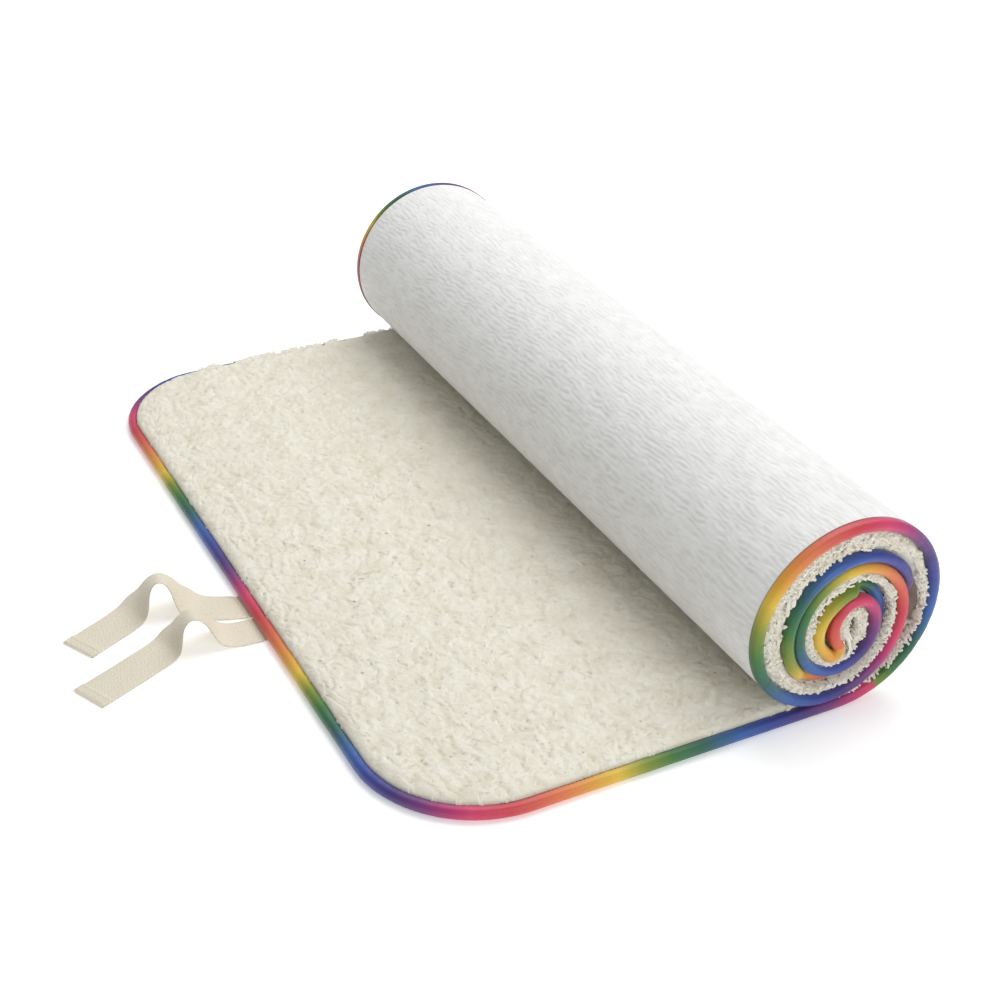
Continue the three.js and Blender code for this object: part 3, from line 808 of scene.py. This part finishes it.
def back_overhang():
    """Locks of the flat length that lie over the binding of the back edge, in bunches."""
    rng = np.random.default_rng(103)
    s = rng.uniform(FREE_CENTRE_S - 5 * MM, FLAT_STOP_S, 2600)
    bunch = sheet_noise(s, 0 * s, 10, 10, seed=91)
    s = s[bunch > mix(0.82, 0.5, smooth(s, FREE_CENTRE_S, FREE_CENTRE_S + 150 * MM))]
    y = half_width(s, PILE_INSET + rng.uniform(2.0, 6.0, len(s)) * MM)
    out = rng.uniform(4.0, 10.0, len(s)) * MM
    lean_s = rng.normal(0, 1.5 * MM, len(s))
    tip = rng.uniform(-2.5, -0.5, len(s)) * MM
    ps, py, _ = lock_paths(rng, s, y, lean_s, out, 0 * s, tip)
    start = rng.uniform(10.5, 12.5, len(s)) * MM
    pn = start[:, None] + tip[:, None] * LOCK_STEPS
    return add_locks("flat_overhang", rng, (ps, py, pn), 2.4 * MM, 5, lift=1.6)


# ---- binding
TAPE_OUTLINE = np.array([  # distance in from the edge and height, in mm, round the section
    (8.9, 0.1), (7.0, 0.0), (5.0, 0.0), (3.4, 0.2), (2.0, 0.8), (0.9, 2.0), (0.25, 3.5),
    (0.0, 5.0), (0.25, 6.5), (0.9, 8.0), (2.0, 9.2), (3.4, 9.85), (5.0, 10.0), (6.6, 9.9),
    (8.0, 9.5), (8.9, 8.9), (9.0, 8.2), (8.2, 7.9), (6.4, 8.3), (4.6, 8.2), (3.4, 7.2),
    (3.0, 5.0), (3.3, 2.6), (4.6, 1.6), (6.6, 1.3), (8.6, 1.2)]) * MM


def straight_path(s, side):
    """Path rows: s, y and the inward direction, along a straight edge."""
    return np.stack([s, side * (HALF_WIDTH - tucked(s)), 0 * s, -side + 0 * s], axis=-1)


def round_end_path(straight, centre, way, radius):
    """Path rows up one long edge, round the end of the mat and down the other edge."""
    wide = HALF_WIDTH - radius
    angle = np.linspace(0, math.pi / 2, int(radius * math.pi / 2 / TAPE_STEP) + 1)[1:]
    sine, cosine = np.sin(angle), np.cos(angle)
    corner = np.stack([centre + way * radius * sine, -(wide + radius * cosine),
                       -way * sine, cosine], axis=-1)
    across = np.linspace(-wide, wide, int(wide * 2 / TAPE_STEP) + 1)[1:-1]
    zero = 0 * across
    end = np.stack([centre + way * radius + zero, across, zero - way, zero], axis=-1)
    front = np.concatenate([straight_path(straight, -1), corner])
    return np.concatenate([front, end, front[::-1] * [1, -1, 1, -1]])


CORNER_END = HALF_WIDTH - CORNER_R + CORNER_R * math.pi / 2
BACK_STRETCH = 0.6  # the colours run more slowly along the straight back edge


def flat_phase(distance):
    """Colour phase by distance from the middle of the free end, towards the front."""
    return (distance - 40 * MM) / RAINBOW_FLAT


def free_end_phase(run):
    """Colour phase along the free end's binding, from its front edge to its back edge."""
    distance = run[-1] / 2 - run
    beyond = np.maximum(0, -distance - CORNER_END)
    return flat_phase(distance + (1 - BACK_STRETCH) * beyond)


def front_phase(s):
    """Colour phase along the front edge of the rolled part."""
    before = flat_phase(CORNER_END + s - FREE_CENTRE_S)
    wound = 0.32 + s / RAINBOW_ROLL
    fold = 0.32 + FOLD_S / RAINBOW_ROLL + 0.10
    turns = [500, 540, 570, 600, 630, 660, 892, FOLD_TURN]
    ahead = [1.48, 1.42, 1.36, 1.27, 1.17, 1.10, 0.17, 0.0]
    wound = np.where(s > FOLD_S, fold + np.interp(doubled_turn(s), turns, ahead), wound)
    return np.where(s < JOIN_S, before, wound)


def back_phase(s):
    """Colour phase along the back edge of the rolled part."""
    flat = flat_phase(-(CORNER_END + BACK_STRETCH * (s - FREE_CENTRE_S)))
    wound = 0.95 + (224 * MM - s) / RAINBOW_BACK
    return np.where(s < JOIN_S, flat, wound)


THINNER_FROM_TO = (20 * MM, 80 * MM)  # where the binding turns thinner, along the mat
TAPE_DROP = 0.6 * MM  # how much lower its underside is from there on


def tape_section(path, run):
    """Grid of sheet coordinates of the binding: a row for each path row."""
    d, n = TAPE_OUTLINE.T
    gather = (fractal(run, 0 * run, 5, 5, seed=71) - 0.5)[:, None]
    drape = (sheet_noise(run, 0 * run, 26, 26, seed=73) - 0.5)[:, None]
    top = smooth(n, 4 * MM, 9 * MM)
    outer = smooth(3 * MM - d, -1 * MM, 3 * MM)
    d = d - outer * (0.35 * gather + 0.25 * drape) * MM
    n = n + top * (0.45 * gather + 0.5 * drape) * MM
    s = path[:, 0, None] + path[:, 2, None] * d
    y = path[:, 1, None] + path[:, 3, None] * d
    wound = smooth(path[:, 0, None], *THINNER_FROM_TO)
    low = 1 - smooth(TAPE_OUTLINE[:, 1], 0.2 * MM, 3 * MM)
    return s, y, n * (1 - 0.14 * wound) - TAPE_DROP * wound * low + low * tail_pocket(s, y)


def tape_faces(rows, cols):
    """Faces of a closed tube with a cap at each end."""
    at = np.arange(rows * cols).reshape(rows, cols)
    nxt = np.roll(at, -1, axis=1)
    return quads_of(at[:-1], nxt[:-1], nxt[1:], at[1:]), [list(at[0, ::-1]), list(at[-1])]


def stitch_boxes(path, run, phase):
    """Short threads on both faces of the binding, as boxes narrower at their outer side."""
    pitch, long, wide, high = 3.3 * MM, 2.3 * MM, 0.55 * MM, 0.35 * MM
    mids = np.arange(run[0] + pitch, run[-1] - pitch, pitch)
    points, runs = [], []
    for level, sign in ((9.7 * MM, 1.0), (0.35 * MM, -1.0)):
        for a, b, c in ((-.5, -.5, -1), (-.5, .5, -1), (.5, .5, -1), (.5, -.5, -1),
                        (-.35, -.3, 1), (-.35, .3, 1), (.35, .3, 1), (.35, -.3, 1)):
            at = mids + a * long
            row = np.stack([np.interp(at, run, path[:, k]) for k in range(4)], -1)
            d = 7.3 * MM + b * wide
            s, y = row[:, 0] + row[:, 2] * d, row[:, 1] + row[:, 3] * d
            drop = smooth(row[:, 0], *THINNER_FROM_TO) * (1.36 * MM if sign > 0 else TAPE_DROP)
            lift = tail_pocket(s, y) * (sign < 0)
            points.append(place(s, y, level - drop + lift + sign * c * high / 2))
            runs.append(np.stack([at, 0 * at + b * wide, 0 * at], -1))
    points, runs = (np.reshape(part, (2, 8, len(mids), 3)).swapaxes(1, 2).reshape(-1, 3)
                    for part in (points, runs))
    return points, runs, np.tile(np.repeat(np.interp(mids, run, phase), 8), 2)


BOX_FACES = np.array([(0, 1, 2, 3), (7, 6, 5, 4), (0, 4, 5, 1), (1, 5, 6, 2),
                      (2, 6, 7, 3), (3, 7, 4, 0)])


def with_threads(points, normals, coords, quads, thread_points, thread_coords):
    """The same arrays with threads as boxes of eight points, and material slots for all faces."""
    boxes = thread_points.reshape(-1, 8, 3)
    away = unit(boxes - boxes.mean(axis=1, keepdims=True))
    faces = points.size // 3 + 8 * np.arange(len(boxes))[:, None, None] + BOX_FACES
    slots = np.concatenate([np.zeros(len(quads)), np.ones(faces.size // 4)])
    return (join(points, thread_points), join(normals, away), join(coords, thread_coords),
            np.concatenate([quads, faces.reshape(-1, 4)]), slots)


def add_tape(name, path, phase):
    """The binding along a path, less its first and last rows: the folded tape and its stitches."""
    run = run_along(path[:, :2])
    points = place(*tape_section(path, run))
    normals = grid_normals(points, closed=True)[1:-1]
    points, path, run, phase = points[1:-1], path[1:-1], run[1:-1], phase[1:-1]
    core = points[:, [5, 9, 21]].mean(axis=1)
    normals = normals * np.sign(np.sum((points[:, 7] - core) * normals[:, 7]))
    quads, caps = facing_out(join(points), *tape_faces(*points.shape[:2]))
    girth = run_along(TAPE_OUTLINE)
    runs = np.stack(np.broadcast_arrays(run[:, None], girth, 0.0), -1)
    t_points, t_runs, t_phase = stitch_boxes(path, run, phase)
    points, normals, runs, quads, slots = with_threads(points, normals, runs, quads,
                                                       t_points, t_runs)
    # painted shade along the inner edge of the binding, and a little for the threads
    seam_shade = np.tile(smooth(TAPE_OUTLINE[:, 0], 6.6 * MM, 8.9 * MM), len(path))
    values = {"tape": np.append(np.repeat(phase, len(girth)), t_phase),
              "seam_shade": np.append(seam_shade, np.full(len(t_points), 0.25))}
    return make_mesh(name, points, quads, caps, normals, runs, values, [TAPE, THREAD],
                     np.append(slots, [0, 0]))


# ---- ties
TIE_COLUMNS = 25


def spline(points, per_span=12):
    """A smooth curve through points given in millimetres, with finer steps at its end."""
    p = np.array(points) * MM
    p = np.concatenate([[2 * p[0] - p[1]], p, [2 * p[-1] - p[-2]]])
    a, b, c, d = (p[k:len(p) - 3 + k, None] for k in range(4))
    t = np.linspace(0, 1, per_span, endpoint=False)[:, None]
    spans = 0.5 * (2 * b + (c - a) * t + (2 * a - 5 * b + 4 * c - d) * t ** 2
                   + (3 * b - a - 3 * c + d) * t ** 3)
    line = np.concatenate([spans.reshape(-1, 3), p[-2:-1]])
    return np.concatenate([line[:-3], np.linspace(line[-3], line[-1], 9)])


def softened(line, reach):
    """The same line with its bends eased over a length, and its two ends kept."""
    run = run_along(line)
    share = np.gradient(run) * np.exp(-((run[:, None] - run) / reach) ** 2)
    soft = share @ line / share.sum(axis=1, keepdims=True)
    spare = np.minimum(run, run[-1] - run)[:, None]
    return mix(line, soft, smooth(spare, 0, 3 * reach))


def tie_grid(centre, hem):
    """Top and bottom surfaces of a ribbon along its centre line, and its run values."""
    step = np.gradient(centre, axis=0)
    run = run_along(centre)
    near = np.exp(-((run[:, None] - run) / (16 * MM)) ** 2)
    flat = unit(near @ unit(step[:, :2]))
    root = np.exp(-(run / (10 * MM)) ** 2)[:, None]
    flat = mix(flat, np.sign(flat[0, 0]) * np.array([1.0, 0.0]), root)
    tilt = -TIE_TILT * smooth(centre[:, 2], 4 * MM, 20 * MM)
    across = unit(np.stack([flat[:, 1], -flat[:, 0], tilt], -1))
    up = unit(np.cross(across, step))
    share = np.linspace(-1, 1, TIE_COLUMNS)
    cup = 0.5 * MM * (share ** 2 - 0.4) * smooth(centre[:, 2], 2 * MM, 12 * MM)[:, None]
    edge = 1 - 0.35 * smooth(np.abs(share), 0.93, 1.0)
    ends = np.minimum(run, run[-1] - run)[:, None]
    rounded = np.sqrt(np.clip(ends / (0.9 * MM), 0.02, 1))
    thick = TIE_T * edge * rounded / 2
    wave = 0.25 * MM * (sheet_noise(run, 0 * run, 14, 14, seed=81) - 0.5)[:, None]
    start = run[-1] - hem
    double = 0.9 * MM * smooth(run, start, start + 1.0 * MM)[:, None] * rounded if hem else 0
    mid = centre[:, None, :] + across[:, None, :] * (share * TIE_W / 2 + wave)[:, :, None]
    top = mid + up[:, None, :] * (thick + cup + double)[:, :, None]
    low = mid + up[:, None, :] * (cup - thick)[:, :, None]
    runs = np.stack(np.broadcast_arrays(run[:, None], share * TIE_W / 2, 0.0), -1)
    return top, low, runs


def ribbon_faces(rows, cols):
    """Faces of a closed ribbon from a top and a bottom grid."""
    top = np.arange(rows * cols).reshape(rows, cols)
    low = top + rows * cols
    up = quads_of(top[:-1, :-1], top[:-1, 1:], top[1:, 1:], top[1:, :-1])
    down = quads_of(low[:-1, :-1], low[1:, :-1], low[1:, 1:], low[:-1, 1:])
    rim = [quads_of(a[:-1], a[1:], b[1:], b[:-1]) for a, b in (
        (top[:, 0], low[:, 0]), (top[::-1, -1], low[::-1, -1]),
        (top[0, ::-1], low[0, ::-1]), (top[-1], low[-1]))]
    return np.concatenate([up, down, *rim])


def hem_stitches(top, runs, row):
    """Small threads across the ribbon in one row, lying on its top surface."""
    a, b = top[row, 1:TIE_COLUMNS - 2], top[row, 2:TIE_COLUMNS - 1]
    along = unit(top[row + 1] - top[row - 1])[1:TIE_COLUMNS - 2] * 0.35 * MM
    up = unit(np.cross(b - a, along)) * 0.18 * MM
    up = up * np.sign(up[:, 2:])
    p, q = mix(a, b, 0.12), mix(a, b, 0.82)
    ring = np.stack([p - along, p + along, q + along, q - along], axis=1)
    up, middle = up[:, None], (p + q)[:, None] / 2
    points = np.concatenate([ring - up, mix(ring, middle, 0.3) + up], axis=1)
    return points, np.repeat(runs[row, 1:TIE_COLUMNS - 2], 8, axis=0)


def add_tie(name, centre, hem=0, stitch_row=None):
    """A ribbon along its centre line, with a hem and a row of stitches if they are given."""
    top, low, runs = tie_grid(centre, hem)
    points = join(top, low)
    quads, _ = facing_out(points, ribbon_faces(*top.shape[:2]), [])
    thick = top - low
    n_top, n_low = grid_normals(top), grid_normals(low)
    normals = join(n_top * np.sign(np.sum(n_top * thick)), n_low * -np.sign(np.sum(n_low * thick)))
    coords, slots = join(runs, runs), None
    if stitch_row is not None:
        points, normals, coords, quads, slots = with_threads(
            points, normals, coords, quads, *hem_stitches(top, runs, stitch_row))
    return make_mesh(name, points, quads, [], normals, coords, {}, [COTTON, COTTON_THREAD], slots)


# ---- building the pieces; the core and the ties go on their bodies
def span_points(start, stop):
    """Ends of a bend, a little inside a piece's own ends."""
    a, b = place(start, 0.0, 0.0), place(stop, 0.0, 0.0)
    inside = unit(b - a) * 4 * MM
    return Vector(a + inside), Vector(b - inside)


def settle(layers, bodies, bend, nodes):
    for kind, obj in layers.items():
        if bend is None:
            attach(obj, bodies[0])
        else:
            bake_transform(obj)
    for node in nodes:
        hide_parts(f"{node}_backing")
        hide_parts(f"{node}_pile")
        for name in sorted(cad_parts):
            if name.startswith(f"{node}_binding"):
                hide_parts(name)


def free_end_layers():
    """The flat length: everything from the free end to under the roll."""
    straight = np.arange(FLAT_STOP_S + TAPE_STEP, FREE_CENTRE_S, -TAPE_STEP)
    path = round_end_path(np.append(straight, FREE_CENTRE_S), FREE_CENTRE_S, -1, CORNER_R)
    extent = FREE_END_S, FLAT_STOP_S
    return {
        "backing": add_backing("flat_backing", free_end_rows(CLOTH_INSET, 3 * MM), (0, 1), 6 * MM),
        "pile": add_pile("flat_pile", free_end_rows(PILE_INSET, PILE_STEP), (0, 1), PILE_STEP),
        "locks": field_locks("flat_locks", 101, *extent, density=6e4, long=8 * MM,
                             width=2.8 * MM, arch=0.55 * MM, sides=6),
        "curls": field_locks("flat_curls", 102, *extent, density=5e4, long=4 * MM,
                             width=0.9 * MM, arch=0.7 * MM, sides=3),
        "overhang": back_overhang(),
        "tape": add_tape("flat_tape", path, free_end_phase(run_along(path[:, :2]))),
    }


def wound_layers(k, start, stop):
    """One length of the outer turn, between two cuts."""
    label = f"wound{k:02d}"
    layers = {
        "backing": add_backing(f"{label}_backing", wound_rows(start, stop, 1.1 * MM), (1, 1), 3 * MM),
        "pile": add_pile(f"{label}_pile", wound_rows(start, stop, 2.3 * MM), (1, 1), 2.6 * MM),
        "locks": field_locks(f"{label}_locks", 201 + k, start, stop, density=3e4, long=8 * MM,
                             width=2.4 * MM, arch=0.4 * MM, sides=5),
        "fringe": edge_locks(f"{label}_fringe", 301 + k, start, stop),
    }
    stations = wound_rows(start, stop, 2.2 * MM)
    if start < JOIN_S < stop:
        stations = np.sort(np.append(stations, [JOIN_S - 0.1 * MM, JOIN_S + 0.1 * MM]))
    for side, key, phase in ((-1, "tape_front", front_phase), (1, "tape_back", back_phase)):
        layers[key] = add_tape(f"{label}_{key}", straight_path(stations, side), phase(stations))
    return layers


def core_layers(start):
    """The wound core, from one full turn to the rounded inner end."""
    straight = finer_at_fold(wound_rows(start, TAIL_S, TAPE_STEP)[:-1])
    path = round_end_path(straight, TAIL_S, 1, INNER_CORNER_R)
    run = run_along(path[:, :2])
    round_end = np.maximum(0, np.minimum(run, run[-1] / 2) - run[len(straight)])
    phase = front_phase(np.minimum(path[:, 0], TAIL_S)) + round_end / RAINBOW_ROLL
    half = len(path) // 2
    phase[half:] = back_phase(path[half:, 0])
    return {
        "backing": add_backing("core_backing_cloth", inner_end_rows(start, CLOTH_INSET, 2.5 * MM),
                               (1, 0), 6 * MM),
        "pile": add_pile("core_pile_wool", inner_end_rows(start, PILE_INSET, 2.5 * MM), (1, 0),
                         2.6 * MM, 40 * MM),
        "fringe": edge_locks("core_fringe", 401, start, TAIL_S),
        "tape": add_tape("core_tape", path, phase),
    }


def build_mat():
    bend = [Vector((x, 0, 0)) for x in PANEL_BEND_X]
    settle(free_end_layers(), ("panel", "base"), bend, ["panel", "base"])
    chain = ["base"] + [f"turn{k:02d}" for k in range(1, SEGMENTS)] + ["core"]
    cuts = [FLAT_STOP_S] + [turn_s(SEGMENT_TURN * (k + 1)) for k in range(SEGMENTS)]
    for k, (start, stop) in enumerate(zip(cuts, cuts[1:])):
        nodes = [] if chain[k + 1] == "core" else [chain[k + 1]]
        bend = span_points(max(start, 0.0), stop)
        settle(wound_layers(k, start, stop), chain[k:k + 2], bend, nodes)
    settle(core_layers(cuts[-1]), ["core"], None, ["core"])


def finish_tie(ribbon, body, node):
    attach(ribbon, body)
    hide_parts(node)


def build_ties():
    for name, points in TIE_PATHS.items():
        centre = softened(spline(points), reach=7 * MM)
        run = run_along(centre)
        stitch_row = int(np.searchsorted(run, run[-1] - HEM_STITCH))
        ribbon = add_tie(f"{name}_ribbon", centre, HEM_LENGTH, stitch_row)
        finish_tie(ribbon, name, name)
        y, z = points[0][1] * MM, TIE_T / 2
        line = np.linspace((TIE_ROOT_X + GAP, y, z), (TAIL_INNER_X, y, z), 16)
        finish_tie(add_tie(f"{name}_sewn_end", line), "panel", f"{name}_tail")


build_mat()
build_ties()


# ---- stage, light and camera
def add_floor():
    shader = Shader("pale_floor", roughness=0.9, specular=0.0)
    position = shader.node("NewGeometry", "Position", {})
    grain = shader.noise((3, 3, 0), detail=1, vector=position)
    color = shader.ramp(grain, [(0.0, (0.93, 0.93, 0.935, 1)), (1.0, (0.95, 0.95, 0.95, 1))])
    shader.fill(shader.surface, {"Emission Color": (1, 1, 1, 1), "Emission Strength": 0.31})
    mesh = bpy.data.meshes.new("floor")
    size, low = 8.0, -0.0004
    corners = [(-size, -size, low), (size, -size, low), (size, size, low), (-size, size, low)]
    mesh.from_pydata(corners, [], [(0, 1, 2, 3)])
    mesh.materials.append(shader.finish(color))
    add_object("floor", mesh)


def add_light(name, location, target, size, power):
    light = bpy.data.lights.new(name, "AREA")
    light.shape = "DISK"
    light.size, light.energy = size, power
    obj = add_object(name, light)
    obj.location = location
    aim = Vector(target) - Vector(location)
    obj.rotation_euler = aim.to_track_quat("-Z", "Y").to_euler()


def add_world(strength):
    world = bpy.data.worlds.new("soft_white")
    world.use_nodes = True
    sky = world.node_tree.nodes["Background"]
    sky.inputs["Color"].default_value = (0.97, 0.985, 1.0, 1)
    sky.inputs["Strength"].default_value = strength
    bpy.context.scene.world = world


def add_camera():
    """Turned clockwise from Y by yaw, tipped down by pitch, and leaning by roll."""
    yaw, pitch, roll = 27.585 * DEG, 31.678 * DEG, 0.929 * DEG
    data = bpy.data.cameras.new("camera")
    data.lens, data.sensor_width = 62.152, 36
    camera = add_object("camera", data)
    camera.matrix_world = (
        Matrix.Translation((-0.7268, -1.1947, 0.8448)) @ Matrix.Rotation(-yaw, 4, "Z")
        @ Matrix.Rotation(math.pi / 2 - pitch, 4, "X") @ Matrix.Rotation(roll, 4, "Z"))
    bpy.context.scene.camera = camera


add_camera()
add_floor()
add_world(strength=0.38)
add_light("key", (0.75, 0.55, 2.2), (-0.1, 0, 0.05), size=2.6, power=50)
add_light("fill", (0.1, -2.2, 1.0), (0.0, -0.2, 0.05), size=1.4, power=14)
bpy.context.scene.view_settings.view_transform = "Standard"
